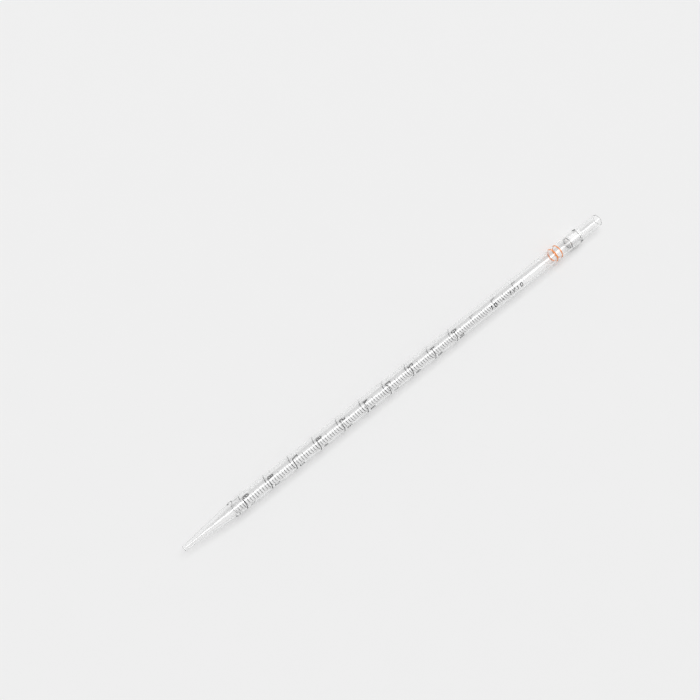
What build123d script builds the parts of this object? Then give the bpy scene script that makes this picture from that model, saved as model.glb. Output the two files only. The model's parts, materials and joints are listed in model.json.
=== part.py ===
"""Disposable 10 ml serological pipette, lying along X with its mouthpiece towards +X, in millimetres."""

from build123d import *
import math
import os

os.makedirs("parts", exist_ok=True)

# Barrel: an extruded tube. Its bore sets how far apart the scale's lines are.
barrel_od = 9.6
barrel_wall = 0.67
lowest_line_offset = 5.4  # from the barrel's tip end to the lowest numbered line
head_length = 112.0  # from the zero line to the barrel's mouth end

# Scale: 0 at the top, numbered down towards the tip, with a reserve above the zero line.
lowest_ml = 9
reserve_ml = 3
ticks_past_lowest = 2
cubic_mm_per_ml = 1000.0
ring_line_width = 0.38
tick_width = 0.28
ink_thickness = 0.04

# Marks run round the barrel from a start angle through a sweep, from +Z turning towards -Y.
ring_line_arc = (-15.0, 285.0)
half_tick_arc = (112.0, 84.0)
tenth_tick_arc = (131.0, 54.0)
reserve_line_arc = (131.0, 89.0)

# Colour code: two bands round the barrel near the mouthpiece.
band_width = 0.9
band_to_shoulder = 20.0
band_pitch = 4.3

# Tip: a moulded cone with a weld collar, and a spigot inside the barrel.
orifice_od = 3.0
orifice_bore = 1.8
orifice_land = 2.0
cone_length = 34.5
cone_step = 0.2  # how far the cone's large end lies inside the barrel's surface
collar_length = 3.0
tip_spigot_length = 4.0
tip_spigot_wall = 0.38

# Mouthpiece: one moulded sleeve through a flange that carries the shoulder.
nozzle_length = 18.1
flange_length = 2.0
sleeve_wall = 0.85
shoulder_chamfer = 0.45

# Filter plug: cotton, pressed into the sleeve on both sides of the shoulder.
plug_length = 10.5
plug_past_shoulder = 1.6
plug_seat_margin = 1.1  # sleeve left over behind the plug
plug_edge = 0.6

# Fits and edges.
seat_clearance = 0.03
plug_clearance = 0.05
collar_proud = 0.1
rim_rounding = 0.3  # share of the wall that is rounded off at an open rim

# Worked out from the sizes above.
barrel_r = barrel_od / 2
bore_r = barrel_r - barrel_wall
ml_pitch = cubic_mm_per_ml / (math.pi * bore_r**2)
barrel_start = cone_length + collar_length
barrel_length = lowest_line_offset + lowest_ml * ml_pitch + head_length
barrel_end = barrel_start + barrel_length
shoulder_x = barrel_end + flange_length
mouth_end = shoulder_x + nozzle_length
sleeve_r = bore_r - seat_clearance
sleeve_bore_r = sleeve_r - sleeve_wall
collar_r = barrel_r + collar_proud
sleeve_start = shoulder_x + plug_past_shoulder - plug_length - plug_seat_margin
lying_place = Location((-mouth_end / 2, 0, collar_r))


def turned(outline):
    """Solid of revolution about X from (distance, radius) points."""
    points = [(along, 0, radius) for along, radius in outline]
    return revolve(make_face(Polyline(*points, close=True)), Axis.X)


def rounded_rim(solid, end, wall):
    """Round both edges of the open rim at one end: 0 is the lowest X, -1 the highest."""
    rim = solid.faces().sort_by(Axis.X)[end]
    return fillet(rim.edges(), rim_rounding * wall)


def line_x(ml):
    """Distance of a scale line from the tip's end; a reserve line has a negative volume."""
    return barrel_start + lowest_line_offset + (lowest_ml - ml) * ml_pitch


def mark(centre, width, arc):
    """One printed line on the barrel's surface, over part of a turn."""
    start, sweep = arc
    low = centre - width / 2
    high = centre + width / 2
    surface = barrel_r
    film = barrel_r + ink_thickness
    corners = [(low, 0, surface), (high, 0, surface), (high, 0, film), (low, 0, film)]
    section = make_face(Polyline(*corners, close=True))
    return Rot(start, 0, 0) * revolve(section, Axis.X, revolution_arc=sweep)


def barrel_tube():
    ends = (barrel_start, barrel_end)
    outline = [(ends[0], bore_r), (ends[1], bore_r), (ends[1], barrel_r), (ends[0], barrel_r)]
    return turned(outline)


def tip():
    cone_end_r = barrel_r - cone_step
    spigot_r = bore_r - seat_clearance
    spigot_bore_r = spigot_r - tip_spigot_wall
    spigot_end = barrel_start + tip_spigot_length
    outline = [
        (0, orifice_bore / 2),
        (orifice_land, orifice_bore / 2),
        (cone_length, spigot_bore_r),
        (spigot_end, spigot_bore_r),
        (spigot_end, spigot_r),
        (barrel_start, spigot_r),
        (barrel_start, collar_r),
        (cone_length + collar_length / 2, collar_r),
        (cone_length, cone_end_r),
        (0, orifice_od / 2),
    ]
    return rounded_rim(turned(outline), 0, (orifice_od - orifice_bore) / 2)


def mouthpiece():
    outline = [
        (sleeve_start, sleeve_bore_r),
        (mouth_end, sleeve_bore_r),
        (mouth_end, sleeve_r),
        (shoulder_x, sleeve_r),
        (shoulder_x, collar_r - shoulder_chamfer),
        (shoulder_x - shoulder_chamfer, collar_r),
        (barrel_end, collar_r),
        (barrel_end, sleeve_r),
        (sleeve_start, sleeve_r),
    ]
    return rounded_rim(turned(outline), -1, sleeve_wall)


def filter_plug():
    plug_r = sleeve_bore_r - plug_clearance
    plug_end = shoulder_x + plug_past_shoulder
    middle = plug_end - plug_length / 2
    plug = Pos(middle, 0, 0) * Rot(0, 90, 0) * Cylinder(plug_r, plug_length)
    return fillet(plug.edges().filter_by(GeomType.CIRCLE), plug_edge)


def colour_band(from_shoulder):
    return mark(shoulder_x - from_shoulder, band_width, (0, 360))


def minor_ticks(upper_ml):
    """The nine lines between one numbered line and the next, from tenth to tenth."""
    marks = [mark(line_x(upper_ml + 0.5), tick_width, half_tick_arc)]
    for tenth in (1, 2, 3, 4, 6, 7, 8, 9):
        marks.append(mark(line_x(upper_ml + tenth / 10), tick_width, tenth_tick_arc))
    return Compound(children=marks)


def ticks_past_lowest_line():
    marks = []
    for tenth in range(1, ticks_past_lowest + 1):
        marks.append(mark(line_x(lowest_ml + tenth / 10), tick_width, tenth_tick_arc))
    return Compound(children=marks)


def write(name, shape):
    export_step(lying_place * shape, f"parts/{name}.step")


write("barrel_tube", barrel_tube())
write("tip", tip())
write("mouthpiece", mouthpiece())
write("filter_plug", filter_plug())
write("colour_band_outer", colour_band(band_to_shoulder))
write("colour_band_inner", colour_band(band_to_shoulder + band_pitch))

for ml in range(lowest_ml + 1):
    write(f"ring_line_{ml}_ml", mark(line_x(ml), ring_line_width, ring_line_arc))

for ml in range(lowest_ml):
    write(f"minor_ticks_{ml}_{ml + 1}_ml", minor_ticks(ml))

write("minor_ticks_past_lowest", ticks_past_lowest_line())

for ml in range(1, reserve_ml + 1):
    write(f"reserve_line_{ml}_ml", mark(line_x(-ml), tick_width, reserve_line_arc))
    write(f"reserve_ticks_{ml - 1}_{ml}_ml", minor_ticks(-ml))
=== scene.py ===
import bpy
import json
import numpy as np
from mathutils import Matrix, Vector


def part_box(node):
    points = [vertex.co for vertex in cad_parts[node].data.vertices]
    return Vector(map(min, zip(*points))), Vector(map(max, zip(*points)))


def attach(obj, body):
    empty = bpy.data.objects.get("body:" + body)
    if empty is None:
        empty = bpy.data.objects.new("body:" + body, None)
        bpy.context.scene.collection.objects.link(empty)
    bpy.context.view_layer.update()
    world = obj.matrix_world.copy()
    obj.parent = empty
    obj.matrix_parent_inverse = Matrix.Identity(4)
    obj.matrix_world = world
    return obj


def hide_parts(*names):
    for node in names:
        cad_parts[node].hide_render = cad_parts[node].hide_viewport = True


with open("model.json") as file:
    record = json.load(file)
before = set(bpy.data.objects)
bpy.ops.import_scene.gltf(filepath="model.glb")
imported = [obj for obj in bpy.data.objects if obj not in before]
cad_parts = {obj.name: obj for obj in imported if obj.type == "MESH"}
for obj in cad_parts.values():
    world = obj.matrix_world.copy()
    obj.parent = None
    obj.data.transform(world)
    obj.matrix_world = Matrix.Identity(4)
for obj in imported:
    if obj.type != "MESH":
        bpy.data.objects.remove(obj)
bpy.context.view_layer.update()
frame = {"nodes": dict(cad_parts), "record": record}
mm = 0.001
body = "root"
print("frame loaded:", len(frame["nodes"]), "nodes")

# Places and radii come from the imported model: its mounts and its nodes' boxes.
mounts = {mount["name"]: mount for mount in frame["record"]["mounts"]}
inkFilm = {"sunk": 0.01 * mm, "thickness": 0.04 * mm}
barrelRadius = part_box("ring_line_0_ml")[1].y - inkFilm["thickness"]
nozzleRadius = mounts["nozzle"]["dims"]["r_mm"] * mm
orificeRadius = mounts["orifice"]["dims"]["r_mm"] * mm
axisHeight = mounts["nozzle"]["pos_m"][2]
barrelStart, barrelEnd = (corner.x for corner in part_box("barrel_tube"))
tipStart, spigotEnd = (corner.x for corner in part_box("tip"))
sleeveStart, mouthEnd = (corner.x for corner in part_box("mouthpiece"))
plugStart, plugEnd = (corner.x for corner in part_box("filter_plug"))


def linear(hexColour):
    # sRGB hex to linear: the standard's straight toe below 0.04045, its power of 2.4 above
    value = np.array([int(hexColour[i:i + 2], 16) for i in (1, 3, 5)]) / 255
    curve = np.where(value <= 0.04045, value / 12.92, ((value + 0.055) / 1.055) ** 2.4)
    return (*curve, 1.0)


def addNode(tree, kind, settings=None, links=None):
    # Settings are the node's own attributes by name, or else its inputs by name or number.
    node = tree.nodes.new(kind)
    for name, value in (settings or {}).items():
        if isinstance(name, str) and hasattr(node, name):
            setattr(node, name, value)
        else:
            node.inputs[name].default_value = value
    for name, source in (links or {}).items():
        tree.links.new(source, node.inputs[name])
    return node


def newMaterial(name):
    material = bpy.data.materials.new(name)
    material.use_nodes = True
    material.node_tree.nodes.clear()
    return material, material.node_tree


def signedVolume(points, faces):
    # Six times the sum of the tetrahedra from the origin to both halves of each quad. It is negative if the
    # faces point inwards.
    a, b, c, d = (points[faces[:, i]] for i in range(4))
    return np.einsum("ij,ij->", a, np.cross(b, c)) + np.einsum("ij,ij->", a, np.cross(c, d))


def meshPiece(name, points, faces, material, smooth=True):
    if signedVolume(points, faces) < 0:
        faces = faces[:, ::-1]
    mesh = bpy.data.meshes.new(name)
    mesh.from_pydata(points, [], [list(dict.fromkeys(face)) for face in faces.tolist()])
    mesh.polygons.foreach_set("use_smooth", np.full(len(mesh.polygons), smooth))
    mesh.materials.append(material)
    mesh.update()
    piece = bpy.data.objects.new(name, mesh)
    bpy.context.scene.collection.objects.link(piece)
    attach(piece, body)
    return piece


def roundedPath(corners, closed=False, arcSteps=6, guard=0.0, runStep=None):
    # Corners are (x, y, radius). Each is replaced by the circular arc tangent to its two sides, sampled at
    # even angles; each straight run gets a point a guard length from both ends, and even points between.
    nearlyStraight = 1.55  # half of a corner's angle in radians, past which it stays one point
    shortestRun = 2.5 * guard  # a run needs this length to have room for its two guard points
    points = np.array([corner[:2] for corner in corners], float)
    radii = np.array([corner[2] for corner in corners], float)
    count = len(points)
    stretches = []
    for i in range(count):
        if not closed and i in (0, count - 1):
            stretches.append(points[i:i + 1])
            continue
        before, here, after = points[i - 1], points[i], points[(i + 1) % count]
        inward = (before - here) / np.linalg.norm(before - here)
        outward = (after - here) / np.linalg.norm(after - here)
        half = np.arccos(np.clip(inward @ outward, -1, 1)) / 2
        if radii[i] == 0 or half > nearlyStraight:
            stretches.append(points[i:i + 1])
            continue
        bisector = (inward + outward) / np.linalg.norm(inward + outward)
        centre = here + bisector * radii[i] / np.sin(half)
        first = here + inward * radii[i] / np.tan(half) - centre
        last = here + outward * radii[i] / np.tan(half) - centre
        sweep = np.arctan2(first[0] * last[1] - first[1] * last[0], first @ last)
        angle = np.linspace(0, sweep, arcSteps + 1)[:, None]
        sideways = np.array([-first[1], first[0]])
        stretches.append(centre + np.cos(angle) * first + np.sin(angle) * sideways)
    path = []
    for i, stretch in enumerate(stretches):
        path.append(stretch)
        if not closed and i == count - 1:
            break
        start, end = stretch[-1], stretches[(i + 1) % count][0]
        length = np.linalg.norm(end - start)
        if guard and length > shortestRun:
            steps = max(2, int(np.ceil((length - 2 * guard) / runStep)) + 1)
            along = np.linspace(guard / length, 1 - guard / length, steps)[:, None]
            path.append(start + along * (end - start))
    return np.concatenate(path)


def gridFaces(rows, columns, closedRows=True):
    # Quads between neighbouring rows and columns of a grid that wraps round its columns, and round its rows
    # if they are closed.
    row = np.arange(rows if closedRows else rows - 1)[:, None]
    column = np.arange(columns)[None, :]
    nextRow, nextColumn = (row + 1) % rows, (column + 1) % columns
    quads = [row * columns + column, nextRow * columns + column,
             nextRow * columns + nextColumn, row * columns + nextColumn]
    return np.stack(np.broadcast_arrays(*quads), axis=-1).reshape(-1, 4)


def poleCap(pole, ring):
    # Triangles from a pole to each side of a ring, written as quads that name the pole twice.
    poles = np.full_like(ring, pole)
    return np.stack([poles, ring, np.roll(ring, -1), poles], axis=-1)


def aroundAxis(along, radius, angle):
    # Points about the pipette's axis: x = distance along it, y = -radius * sin(angle),
    # z = axis height + radius * cos(angle).
    places = np.broadcast_arrays(along, -radius * np.sin(angle), axisHeight + radius * np.cos(angle))
    return np.stack(places, axis=-1).reshape(-1, 3)


def turnedSurface(name, outline, material, around=144):
    # Closed outline of (distance, radius) turned about the pipette's axis.
    angle = np.linspace(0, 2 * np.pi, around, endpoint=False)[None, :]
    points = aroundAxis(outline[:, :1], outline[:, 1:], angle)
    return meshPiece(name, points, gridFaces(len(outline), around), material)


def shadowGlass(tree, glass, settings):
    # Clear plastic lets light through, so its shadow is thin: rays from lamps pass a wall that faces them,
    # and are weakened where they graze it. Light between matt surfaces passes unweakened.
    path = addNode(tree, "ShaderNodeLightPath")
    slant = addNode(tree, "ShaderNodeLayerWeight", {"Blend": 0.5})
    grazing = addNode(tree, "ShaderNodeMath", {"operation": "POWER", 1: settings["grazingPower"]},
                      {0: slant.outputs["Facing"]})
    facing, grazed = linear(settings["facingShadow"]), linear(settings["grazingShadow"])
    colour = addNode(tree, "ShaderNodeMix", {"data_type": "RGBA", 6: facing, 7: grazed},
                     {0: grazing.outputs[0]})
    clear = addNode(tree, "ShaderNodeBsdfTransparent", links={"Color": colour.outputs[2]})
    unweakened = addNode(tree, "ShaderNodeBsdfTransparent")
    seen = addNode(tree, "ShaderNodeMixShader",
                   links={0: path.outputs["Is Diffuse Ray"], 1: glass, 2: unweakened.outputs[0]})
    mix = addNode(tree, "ShaderNodeMixShader",
                  links={0: path.outputs["Is Shadow Ray"], 1: seen.outputs[0], 2: clear.outputs[0]})
    addNode(tree, "ShaderNodeOutputMaterial", links={"Surface": mix.outputs[0]})


def clearPolystyrene(name, settings):
    # Clear general-purpose polystyrene: brilliant, brittle, IOR 1.59 in a block. A thin wall shows fainter
    # edges than a block does, so each piece has a lower value, matched to its look. Drawing through the die
    # or the mould leaves faint streaks along its length, which break up the edges of its highlights.
    material, tree = newMaterial(name)
    place = addNode(tree, "ShaderNodeTexCoord").outputs["Object"]
    stretch = addNode(tree, "ShaderNodeMapping", {"Scale": settings["streakScale"]}, {"Vector": place})
    streaks = addNode(tree, "ShaderNodeTexNoise", {"Scale": 1.0, "Detail": 3.0},
                      {"Vector": stretch.outputs[0]})
    bump = addNode(tree, "ShaderNodeBump",
                   {"Strength": settings["streakStrength"], "Distance": settings["streakDepth"]},
                   {"Height": streaks.outputs["Fac"]})
    tint = addNode(tree, "ShaderNodeMix",
                   {"data_type": "RGBA", 6: linear(settings["colour"]), 7: linear(settings["streakColour"])},
                   {0: streaks.outputs["Fac"]})
    roughness = settings["roughness"]
    surface = addNode(tree, "ShaderNodeBsdfPrincipled",
                      {"Transmission Weight": 1.0, "IOR": settings["ior"], "Roughness": roughness},
                      {"Base Color": tint.outputs[2], "Normal": bump.outputs[0]})
    if "weld" in settings:
        # Remelted plastic is hazy: rough within a reach of the seam, falling off smoothly past it.
        weld = settings["weld"]
        along = addNode(tree, "ShaderNodeSeparateXYZ", links={0: place}).outputs["X"]
        distance = addNode(tree, "ShaderNodeMath", {"operation": "SUBTRACT", 1: weld["seam"]}, {0: along})
        away = addNode(tree, "ShaderNodeMath", {"operation": "ABSOLUTE"}, {0: distance.outputs[0]})
        haze = addNode(tree, "ShaderNodeMapRange",
                       {"interpolation_type": "SMOOTHSTEP", "From Min": weld["reach"],
                        "From Max": weld["end"], "To Min": weld["roughness"], "To Max": roughness},
                       {"Value": away.outputs[0]})
        tree.links.new(haze.outputs[0], surface.inputs["Roughness"])
    shadowGlass(tree, surface.outputs[0], settings)
    return material


def printedInk(name, settings):
    # Pad-printed ink: a thin matt film, a little patchy, because it dries in flecks over the plastic.
    material, tree = newMaterial(name)
    place = addNode(tree, "ShaderNodeTexCoord").outputs["Object"]
    flecks = addNode(tree, "ShaderNodeTexNoise", {"Scale": 1 / settings["fleckSize"], "Detail": 2.0},
                     {"Vector": place})
    colour = addNode(tree, "ShaderNodeMix",
                     {"data_type": "RGBA", 6: linear(settings["dark"]), 7: linear(settings["light"])},
                     {0: flecks.outputs["Fac"]})
    bump = addNode(tree, "ShaderNodeBump", {"Strength": settings["relief"], "Distance": settings["depth"]},
                   {"Height": flecks.outputs["Fac"]})
    surface = addNode(tree, "ShaderNodeBsdfPrincipled",
                      {"Roughness": settings["roughness"], "Alpha": settings["alpha"],
                       "Specular IOR Level": settings["specular"]},
                      {"Base Color": colour.outputs[2], "Normal": bump.outputs[0]})
    addNode(tree, "ShaderNodeOutputMaterial", links={"Surface": surface.outputs[0]})
    return material


def cottonWadding(settings):
    # Bleached cotton fibre, carded and pressed: white, dull, with fine crossing fibres and soft hollows.
    # Light that enters it spreads through the whole plug.
    material, tree = newMaterial("pressedCotton")
    place = addNode(tree, "ShaderNodeTexCoord").outputs["Object"]
    fibreMap = addNode(tree, "ShaderNodeMapping", {"Scale": settings["fibreStretch"]}, {"Vector": place})
    fibres = addNode(tree, "ShaderNodeTexNoise",
                     {"Scale": 1 / settings["fibreSize"], "Detail": 6.0, "Distortion": 1.2},
                     {"Vector": fibreMap.outputs[0]})
    hollows = addNode(tree, "ShaderNodeTexNoise", {"Scale": 1 / settings["hollowSize"], "Detail": 2.0},
                      {"Vector": place})
    height = addNode(tree, "ShaderNodeMath", {"operation": "ADD"},
                     {0: fibres.outputs["Fac"], 1: hollows.outputs["Fac"]})
    bump = addNode(tree, "ShaderNodeBump", {"Strength": settings["relief"], "Distance": settings["depth"]},
                   {"Height": height.outputs[0]})
    colour = addNode(tree, "ShaderNodeMix",
                     {"data_type": "RGBA", 6: linear(settings["shade"]), 7: linear(settings["light"])},
                     {0: fibres.outputs["Fac"]})
    surface = addNode(tree, "ShaderNodeBsdfPrincipled",
                      {"Roughness": settings["roughness"], "Sheen Weight": settings["sheen"],
                       "Subsurface Weight": 1.0, "Subsurface Radius": (1.0, 1.0, 1.0),
                       "Subsurface Scale": settings["spread"]},
                      {"Base Color": colour.outputs[2], "Normal": bump.outputs[0]})
    addNode(tree, "ShaderNodeOutputMaterial", links={"Surface": surface.outputs[0]})
    return material


shadowTint = {"grazingPower": 1.8, "facingShadow": "#FFFFFF", "grazingShadow": "#7C7D7E"}
extruded = {
    "colour": "#FFFFFF", "streakColour": "#FBFBFB", "streakScale": (8.0, 900.0, 900.0),
    "streakStrength": 0.05, "streakDepth": 0.02 * mm, "roughness": 0.02, "ior": 1.5, **shadowTint,
}
moulded = {
    "colour": "#FFFFFF", "streakColour": "#FAFAFA", "streakScale": (60.0, 300.0, 300.0),
    "streakStrength": 0.06, "streakDepth": 0.02 * mm, "roughness": 0.03, "ior": 1.42, **shadowTint,
}
frosted = {
    **moulded, "roughness": 0.05, "ior": 1.48,
    "weld": {"seam": barrelStart, "reach": 3.0 * mm, "end": 4.2 * mm, "roughness": 0.12},
}
dryFilm = {"roughness": 0.55, "relief": 0.3, "depth": 0.01 * mm, "specular": 0.15}
blackFlecks = {"dark": "#141516", "light": "#29292B", "fleckSize": 0.5 * mm, "alpha": 1.0, **dryFilm}
orangeFlecks = {"dark": "#F5862A", "light": "#FFB46C", "fleckSize": 0.9 * mm, "alpha": 0.7, **dryFilm}
wadding = {
    "shade": "#F1F1EE", "light": "#FFFFFD", "fibreSize": 0.35 * mm, "fibreStretch": (1.0, 2.6, 2.6),
    "hollowSize": 2.2 * mm, "relief": 0.7, "depth": 0.12 * mm, "roughness": 0.95, "sheen": 0.3,
    "spread": 4.0 * mm,
}
extrudedPolystyrene = clearPolystyrene("extrudedPolystyrene", extruded)
frostedPolystyrene = clearPolystyrene("softlyFrostedPolystyrene", frosted)
mouldedPolystyrene = clearPolystyrene("mouldedPolystyrene", moulded)
blackInk = printedInk("blackPrintingInk", blackFlecks)
orangeInk = printedInk("orangePrintingInk", orangeFlecks)
pressedCotton = cottonWadding(wadding)
print("finishes ready")

barrel = {"wall": 0.67 * mm, "edge": 0.08 * mm, "seatClearance": 0.03 * mm,
          "sampling": {"guard": 0.3 * mm, "runStep": 20 * mm}}
boreRadius = barrelRadius - barrel["wall"]
barrelOutline = roundedPath([
    (barrelStart, boreRadius, barrel["edge"]),
    (barrelEnd, boreRadius, barrel["edge"]),
    (barrelEnd, barrelRadius, barrel["edge"]),
    (barrelStart, barrelRadius, barrel["edge"]),
], closed=True, **barrel["sampling"])
tube = turnedSurface("barrelTube", barrelOutline, extrudedPolystyrene)
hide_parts("barrel_tube")

# Names that end in Edge, Blend or rim are the radii that the outline's corners are rounded by.
tip = {
    "outletRadius": 1.5 * mm, "land": 2.0 * mm, "collarLength": 3.0 * mm, "coneStep": 0.2 * mm,
    "collarProud": 0.1 * mm, "spigotWall": 0.38 * mm, "rim": 0.17 * mm, "landBlend": 4.0 * mm,
    "coneBlend": 6.0 * mm, "spigotEdge": 0.17 * mm, "seatEdge": 0.09 * mm, "collarBlend": 1.2 * mm,
    "stepBlend": 1.0 * mm, "sampling": {"guard": 0.2 * mm, "runStep": 4 * mm},
}
collarRadius = barrelRadius + tip["collarProud"]
spigotRadius = boreRadius - barrel["seatClearance"]
spigotBore = spigotRadius - tip["spigotWall"]
coneEnd = barrelStart - tip["collarLength"]
tipOutline = roundedPath([
    (tipStart, orificeRadius, tip["rim"]),
    (tipStart + tip["land"], orificeRadius, tip["landBlend"]),
    (coneEnd, spigotBore, tip["coneBlend"]),
    (spigotEnd, spigotBore, tip["spigotEdge"]),
    (spigotEnd, spigotRadius, tip["spigotEdge"]),
    (barrelStart, spigotRadius, 0),
    (barrelStart, collarRadius, tip["seatEdge"]),
    (barrelStart - tip["collarLength"] / 2, collarRadius, tip["collarBlend"]),
    (coneEnd, barrelRadius - tip["coneStep"], tip["stepBlend"]),
    (tipStart, tip["outletRadius"], tip["rim"]),
], closed=True, **tip["sampling"])
tipCone = turnedSurface("tipCone", tipOutline, frostedPolystyrene)
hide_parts("tip")

mouth = {
    "sleeveWall": 0.85 * mm, "flangeLength": 2.0 * mm, "chamfer": 0.45 * mm, "rim": 0.25 * mm,
    "sleeveEdge": 0.15 * mm, "shoulderEdge": 0.17 * mm, "chamferBlend": 0.4 * mm, "seatEdge": 0.09 * mm,
    "sampling": {"guard": 0.15 * mm, "runStep": 4 * mm},
}
sleeveBore = nozzleRadius - mouth["sleeveWall"]
shoulder = barrelEnd + mouth["flangeLength"]
mouthOutline = roundedPath([
    (sleeveStart, sleeveBore, mouth["sleeveEdge"]),
    (mouthEnd, sleeveBore, mouth["rim"]),
    (mouthEnd, nozzleRadius, mouth["rim"]),
    (shoulder, nozzleRadius, mouth["shoulderEdge"]),
    (shoulder, collarRadius - mouth["chamfer"], mouth["shoulderEdge"]),
    (shoulder - mouth["chamfer"], collarRadius, mouth["chamferBlend"]),
    (barrelEnd, collarRadius, mouth["seatEdge"]),
    (barrelEnd, nozzleRadius, 0),
    (sleeveStart, nozzleRadius, mouth["sleeveEdge"]),
], closed=True, **mouth["sampling"])
mouthpiece = turnedSurface("mouthpieceSleeve", mouthOutline, mouldedPolystyrene)
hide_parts("mouthpiece")
print("clear parts made")

plug = {"radius": 3.2 * mm, "edge": 1.0 * mm, "poleRing": 0.02 * mm, "lump": 0.05, "around": 96,
        "sampling": {"guard": 0.3 * mm, "runStep": 0.4 * mm}}
flank = roundedPath([
    (plugStart, 0, 0),
    (plugStart, plug["radius"], plug["edge"]),
    (plugEnd, plug["radius"], plug["edge"]),
    (plugEnd, 0, 0),
], **plug["sampling"])
flank[[0, -1], 1] = plug["poleRing"]  # the ends close on a ring too small to see, and a cap
turn = np.linspace(0, 2 * np.pi, plug["around"], endpoint=False)[None, :]
along, reach = flank[:, :1], flank[:, 1:]
# Radius eased in by up to the lump share: waves of the distance and of the angle, at three sizes.
phase = (along - plugStart) / mm
broad = np.sin(1.3 * phase + 2 * turn) * np.cos(3 * turn + 0.7 * phase)
middling = 0.6 * np.sin(2.9 * phase + 5 * turn)
fine = 0.4 * np.sin(6.1 * phase - 9 * turn + 1.0)
radius = reach * (1 - plug["lump"] * ((broad + middling + fine) / 4 + 0.5))
poles = [[plugStart, 0, axisHeight], [plugEnd, 0, axisHeight]]
plugPoints = np.concatenate([aroundAxis(along, radius, turn), poles])
firstRing = np.arange(plug["around"])
lastRing = firstRing + (len(flank) - 1) * plug["around"]
plugFaces = np.concatenate([
    gridFaces(len(flank), plug["around"], closedRows=False),
    poleCap(len(plugPoints) - 2, firstRing),
    poleCap(len(plugPoints) - 1, lastRing[::-1]),
])
cotton = meshPiece("cottonPlug", plugPoints, plugFaces, pressedCotton)
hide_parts("filter_plug")
print("plug made")

for name, node in frame["nodes"].items():
    if name.startswith(("ring_line", "minor_ticks", "reserve_", "colour_band")):
        node.material_slots[0].material = orangeInk if name.startswith("colour_band") else blackInk

# Strokes of each character in a cell one wide and two high, as (closed, corners). A corner is (x, y, radius).
strokes = {
    "0": [(True, [(0, 0, 0.5), (1, 0, 0.5), (1, 2, 0.5), (0, 2, 0.5)])],
    "1": [(False, [(0.2, 1.6, 0), (0.55, 2, 0.05), (0.55, 0, 0)])],
    "2": [(False, [(0.02, 1.5, 0), (0.02, 2, 0.45), (0.98, 2, 0.48), (0.98, 1.2, 0.4), (0.02, 0, 0.05),
                   (1, 0, 0)])],
    "3": [(False, [(0.02, 1.6, 0), (0.05, 2, 0.4), (0.95, 2, 0.45), (0.95, 1.05, 0.45), (0.4, 1.05, 0)]),
          (False, [(0.4, 1.05, 0), (1, 1.05, 0.5), (1, 0, 0.5), (0, 0, 0.45), (0, 0.45, 0)])],
    "4": [(False, [(0.75, 0, 0), (0.75, 2, 0.05), (0, 0.6, 0.05), (1, 0.6, 0)])],
    "5": [(False, [(0.92, 2, 0), (0.12, 2, 0.05), (0.05, 1.12, 0.1), (1, 1.3, 0.5), (1, 0, 0.5),
                   (0, 0, 0.45), (0, 0.4, 0)])],
    "6": [(True, [(0, 0, 0.5), (1, 0, 0.5), (1, 1.15, 0.5), (0, 1.15, 0.5)]),
          (False, [(0, 0.6, 0), (0, 2, 0.5), (0.95, 2, 0.45), (0.95, 1.65, 0)])],
    "7": [(False, [(0, 2, 0), (1, 2, 0.05), (0.35, 0, 0)])],
    "8": [(True, [(0, 0, 0.5), (1, 0, 0.5), (1, 1.05, 0.45), (0, 1.05, 0.45)]),
          (True, [(0.07, 1.05, 0.42), (0.93, 1.05, 0.42), (0.93, 2, 0.42), (0.07, 2, 0.42)])],
    "9": [(True, [(0, 0.85, 0.5), (1, 0.85, 0.5), (1, 2, 0.5), (0, 2, 0.5)]),
          (False, [(1, 1.4, 0), (1, 0, 0.5), (0.05, 0, 0.45), (0.05, 0.35, 0)])],
    "/": [(False, [(0, -0.1, 0), (0.9, 2.1, 0)])],
    "-": [(False, [(0.1, 0.95, 0), (0.9, 0.95, 0)])],
}


def strokePatch(corners, closed, cell, strokeWidth):
    # A flat band carried along the stroke: each point moves half a stroke width to both sides of the path,
    # square to the mean of its two neighbouring directions, at the film's foot and at its top.
    sharpestMitre = 2
    samePlace = 0.001 * mm
    scaled = [(x * cell[0], y * cell[1] / 2, r * min(cell[0], cell[1] / 2)) for x, y, r in corners]
    path = roundedPath(scaled, closed=closed, arcSteps=7)
    stepLength = np.linalg.norm(path - np.roll(path, 1, axis=0), axis=1)
    path = path[stepLength > samePlace]  # arcs that meet share an end point, which is kept once
    if closed:
        ahead, behind = np.roll(path, -1, axis=0), np.roll(path, 1, axis=0)
    else:
        ahead, behind = np.vstack([path[1:], path[-1:]]), np.vstack([path[:1], path[:-1]])
    into, out = path - behind, ahead - path
    if not closed:
        into[0], out[-1] = out[0], into[-1]
    into = into / np.linalg.norm(into, axis=1, keepdims=True)
    out = out / np.linalg.norm(out, axis=1, keepdims=True)
    mean = (into + out) / np.linalg.norm(into + out, axis=1, keepdims=True)
    side = np.stack([-mean[:, 1], mean[:, 0]], axis=1)
    mitre = np.clip(1 / np.einsum("ij,ij->i", mean, out), 1, sharpestMitre)[:, None]
    left, right = path + side * mitre * strokeWidth / 2, path - side * mitre * strokeWidth / 2
    foot, top = -inkFilm["sunk"], inkFilm["thickness"]
    rings = [np.column_stack([edge, np.full(len(edge), lift)])
             for edge, lift in ((left, foot), (left, top), (right, top), (right, foot))]
    faces = gridFaces(len(path), 4, closedRows=closed)
    if not closed:
        end = (len(path) - 1) * 4
        faces = np.concatenate([faces, [[0, 1, 2, 3], [end + 3, end + 2, end + 1, end]]])
    return np.stack(rings, axis=1).reshape(-1, 3), faces


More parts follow.
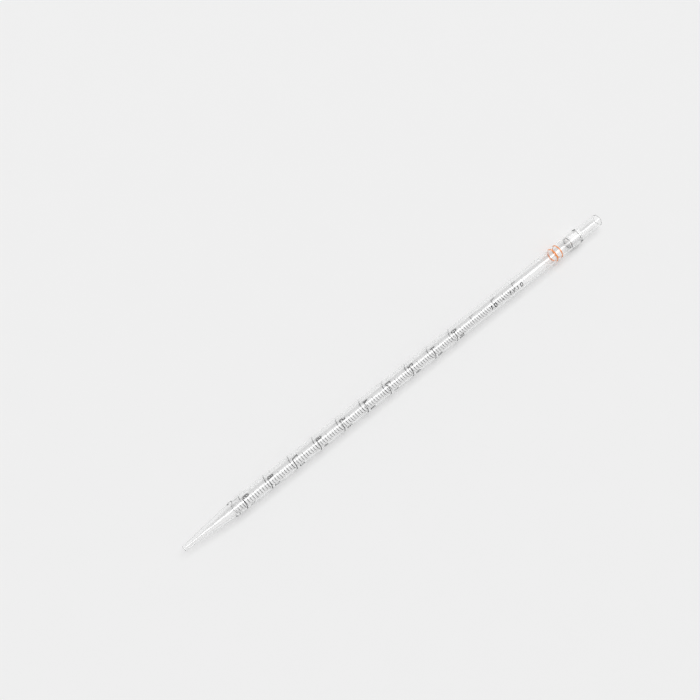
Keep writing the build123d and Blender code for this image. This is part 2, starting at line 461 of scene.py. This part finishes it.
def printText(name, labels, style):
    # Each label is (text, distance, angle): flat strokes are wrapped on the barrel. Across the text is the
    # angle and up the text is the distance, or the other way round for text that reads along the barrel.
    allPoints, allFaces, used = [], [], 0
    cell, gap = (style["width"], style["height"]), style["gap"]
    for text, distance, angle in labels:
        for place, character in enumerate(text):
            for closed, corners in strokes.get(character, []):
                flat, faces = strokePatch(corners, closed, cell, style["stroke"])
                flat[:, 0] += place * (cell[0] + gap)
                if style["alongBarrel"]:
                    x, turned = distance + flat[:, 0], np.radians(angle) - flat[:, 1] / barrelRadius
                else:
                    x, turned = distance + flat[:, 1], np.radians(angle) + flat[:, 0] / barrelRadius
                points = aroundAxis(x, barrelRadius + flat[:, 2], turned)
                if signedVolume(points - points[0], faces) < 0:
                    faces = faces[:, ::-1]
                allPoints.append(points)
                allFaces.append(faces + used)
                used += len(points)
    points, faces = np.concatenate(allPoints), np.concatenate(allFaces)
    return meshPiece(name, points, faces, blackInk, smooth=False)


def lineDistance(ml):
    low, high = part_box(f"ring_line_{ml}_ml")
    return (low.x + high.x) / 2


# Angles are in degrees from straight up, turning towards -Y.
mainStyle = {"width": 1.45 * mm, "height": 3.7 * mm, "gap": 0.5 * mm, "stroke": 0.52 * mm,
             "aboveLine": 2.2 * mm, "angle": 192, "alongBarrel": False}
reverseStyle = {**mainStyle, "height": 3.3 * mm, "stroke": 0.42 * mm, "angle": 58, "angleOfTen": 36}
reserveStyle = {"width": 0.8 * mm, "height": 1.7 * mm, "gap": 0.3 * mm, "stroke": 0.24 * mm,
                "aboveLine": 0.8 * mm, "angle": 206, "alongBarrel": False}
capacityStyle = {"width": 1.6 * mm, "height": 2.3 * mm, "gap": 1.7 * mm, "stroke": 0.5 * mm,
                 "aboveLine": 30.0 * mm, "angle": 40, "alongBarrel": True}
lowestMl = 9
zeroLine = lineDistance(0)
mlPitch = (zeroLine - lineDistance(lowestMl)) / lowestMl

main = [(str(ml), lineDistance(ml) + mainStyle["aboveLine"], mainStyle["angle"]) for ml in range(10)]
printText("mainNumerals", main, mainStyle)
reverse = [(str(10 - ml), lineDistance(ml) + reverseStyle["aboveLine"], reverseStyle["angle"])
           for ml in range(1, 10)]
reverse.append(("10", zeroLine + reverseStyle["aboveLine"], reverseStyle["angleOfTen"]))
printText("reverseNumerals", reverse, reverseStyle)
reserve = [(str(ml), zeroLine + ml * mlPitch + reserveStyle["aboveLine"], reserveStyle["angle"])
           for ml in (1, 2, 3)]
printText("reserveNumerals", reserve, reserveStyle)
capacity = [("10 - 1/10", zeroLine + capacityStyle["aboveLine"], capacityStyle["angle"])]
printText("capacityNumbers", capacity, capacityStyle)
print("print made")

room = {"floorColour": "#EFEFEF", "floorGrain": "#F0F0F0", "grainScale": 40.0, "floorSize": 4.0,
        "backdrop": "#EFEFEF", "fill": 0.5}
# What the clear walls mirror: a pale room, duller towards the horizon and on the -Y side, and a bright strip
# overhead that runs along the pipette.
mirrored = {"middle": 0.95, "upwards": 0.1, "towardsY": 0.4}
brightStrip = {"middleY": 0.0, "halfWidth": 0.15, "fade": 0.12, "strength": 3.0}
# A large soft light far above, on the +Y side. Its edges are slopes, sideways over upwards.
softLight = {"height": 30.0, "along": (-0.36, 1.0), "across": (0.1, 0.8), "radiance": 3.2}
view = {"place": (-0.2441, 0.0, 0.6761), "target": (-0.018, 0.032, 0.0), "up": (0.579, 0.782, 0.231),
        "lens": 59.73, "sensorWidth": 36.0, "clipStart": 0.01}
clearBounces = 24  # light crosses up to sixteen clear faces where a sleeve sits in the barrel

floorMaterial, tree = newMaterial("paleLaminate")
place = addNode(tree, "ShaderNodeTexCoord").outputs["Object"]
grain = addNode(tree, "ShaderNodeTexNoise", {"Scale": room["grainScale"], "Detail": 3.0}, {"Vector": place})
paint = addNode(tree, "ShaderNodeMix",
                {"data_type": "RGBA", 6: linear(room["floorColour"]), 7: linear(room["floorGrain"])},
                {0: grain.outputs["Fac"]})
matt = addNode(tree, "ShaderNodeBsdfDiffuse", links={"Color": paint.outputs[2]})
addNode(tree, "ShaderNodeOutputMaterial", links={"Surface": matt.outputs[0]})
half = room["floorSize"] / 2
floorCorners = [(-half, -half, 0), (half, -half, 0), (half, half, 0), (-half, half, 0)]
floorMesh = bpy.data.meshes.new("floor")
floorMesh.from_pydata(floorCorners, [], [(0, 1, 2, 3)])
floorMesh.materials.append(floorMaterial)
floor = bpy.data.objects.new("floor", floorMesh)
bpy.context.scene.collection.objects.link(floor)

world = bpy.data.worlds.new("paleRoom")
bpy.context.scene.world = world
world.use_nodes = True
world.node_tree.nodes.clear()
tree = world.node_tree
rays = addNode(tree, "ShaderNodeLightPath")
fill = addNode(tree, "ShaderNodeBackground", {"Color": (1, 1, 1, 1), "Strength": room["fill"]})
shown = addNode(tree, "ShaderNodeBackground", {"Color": linear(room["backdrop"]), "Strength": 1.0})
sky = addNode(tree, "ShaderNodeTexCoord").outputs["Generated"]
direction = addNode(tree, "ShaderNodeSeparateXYZ", links={0: sky})
rising = addNode(tree, "ShaderNodeMath",
                 {"operation": "MULTIPLY_ADD", 1: mirrored["upwards"], 2: mirrored["middle"]},
                 {0: direction.outputs["Z"]})
leaning = addNode(tree, "ShaderNodeMath", {"operation": "MULTIPLY_ADD", 1: mirrored["towardsY"]},
                  {0: direction.outputs["Y"], 2: rising.outputs[0]})
offMiddle = addNode(tree, "ShaderNodeMath", {"operation": "SUBTRACT", 1: brightStrip["middleY"]},
                    {0: direction.outputs["Y"]})
fromMiddle = addNode(tree, "ShaderNodeMath", {"operation": "ABSOLUTE"}, {0: offMiddle.outputs[0]})
strip = addNode(tree, "ShaderNodeMapRange",
                {"interpolation_type": "SMOOTHSTEP", "From Min": brightStrip["halfWidth"],
                 "From Max": brightStrip["halfWidth"] + brightStrip["fade"],
                 "To Min": brightStrip["strength"], "To Max": 0.0},
                {"Value": fromMiddle.outputs[0]})
brightness = addNode(tree, "ShaderNodeMath", {"operation": "ADD"},
                     {0: leaning.outputs[0], 1: strip.outputs[0]})
reflected = addNode(tree, "ShaderNodeBackground", {"Color": (1, 1, 1, 1)},
                    {"Strength": brightness.outputs[0]})
sharp = addNode(tree, "ShaderNodeMath", {"operation": "MAXIMUM"},
                {0: rays.outputs["Is Glossy Ray"], 1: rays.outputs["Is Transmission Ray"]})
indirect = addNode(tree, "ShaderNodeMixShader",
                   links={0: sharp.outputs[0], 1: fill.outputs[0], 2: reflected.outputs[0]})
pick = addNode(tree, "ShaderNodeMixShader",
               links={0: rays.outputs["Is Camera Ray"], 1: indirect.outputs[0], 2: shown.outputs[0]})
addNode(tree, "ShaderNodeOutputWorld", links={"Surface": pick.outputs[0]})

lamp = bpy.data.lights.new("softLight", "AREA")
lamp.shape = "RECTANGLE"
lowX, highX = (slope * softLight["height"] for slope in softLight["along"])
lowY, highY = (slope * softLight["height"] for slope in softLight["across"])
lamp.size, lamp.size_y = highX - lowX, highY - lowY
lamp.energy = softLight["radiance"] * np.pi * lamp.size * lamp.size_y
lampObject = bpy.data.objects.new("softLight", lamp)
lampObject.location = ((lowX + highX) / 2, (lowY + highY) / 2, softLight["height"])
lampObject.visible_glossy = False  # clear walls mirror the bright strip instead
lampObject.visible_transmission = False
bpy.context.scene.collection.objects.link(lampObject)

camera = bpy.data.cameras.new("camera")
camera.lens = view["lens"]
camera.sensor_width = view["sensorWidth"]
camera.clip_start = view["clipStart"]
cameraObject = bpy.data.objects.new("camera", camera)
backward = (Vector(view["place"]) - Vector(view["target"])).normalized()
right = Vector(view["up"]).cross(backward).normalized()
facing = Matrix((right, backward.cross(right), backward)).transposed()
cameraObject.matrix_world = Matrix.Translation(view["place"]) @ facing.to_4x4()
bpy.context.scene.collection.objects.link(cameraObject)
bpy.context.scene.camera = cameraObject
bpy.context.scene.view_settings.view_transform = "Standard"
cycles = bpy.context.scene.cycles
cycles.max_bounces = clearBounces
cycles.transmission_bounces = clearBounces
cycles.transparent_max_bounces = clearBounces
print("floor, light and camera set")
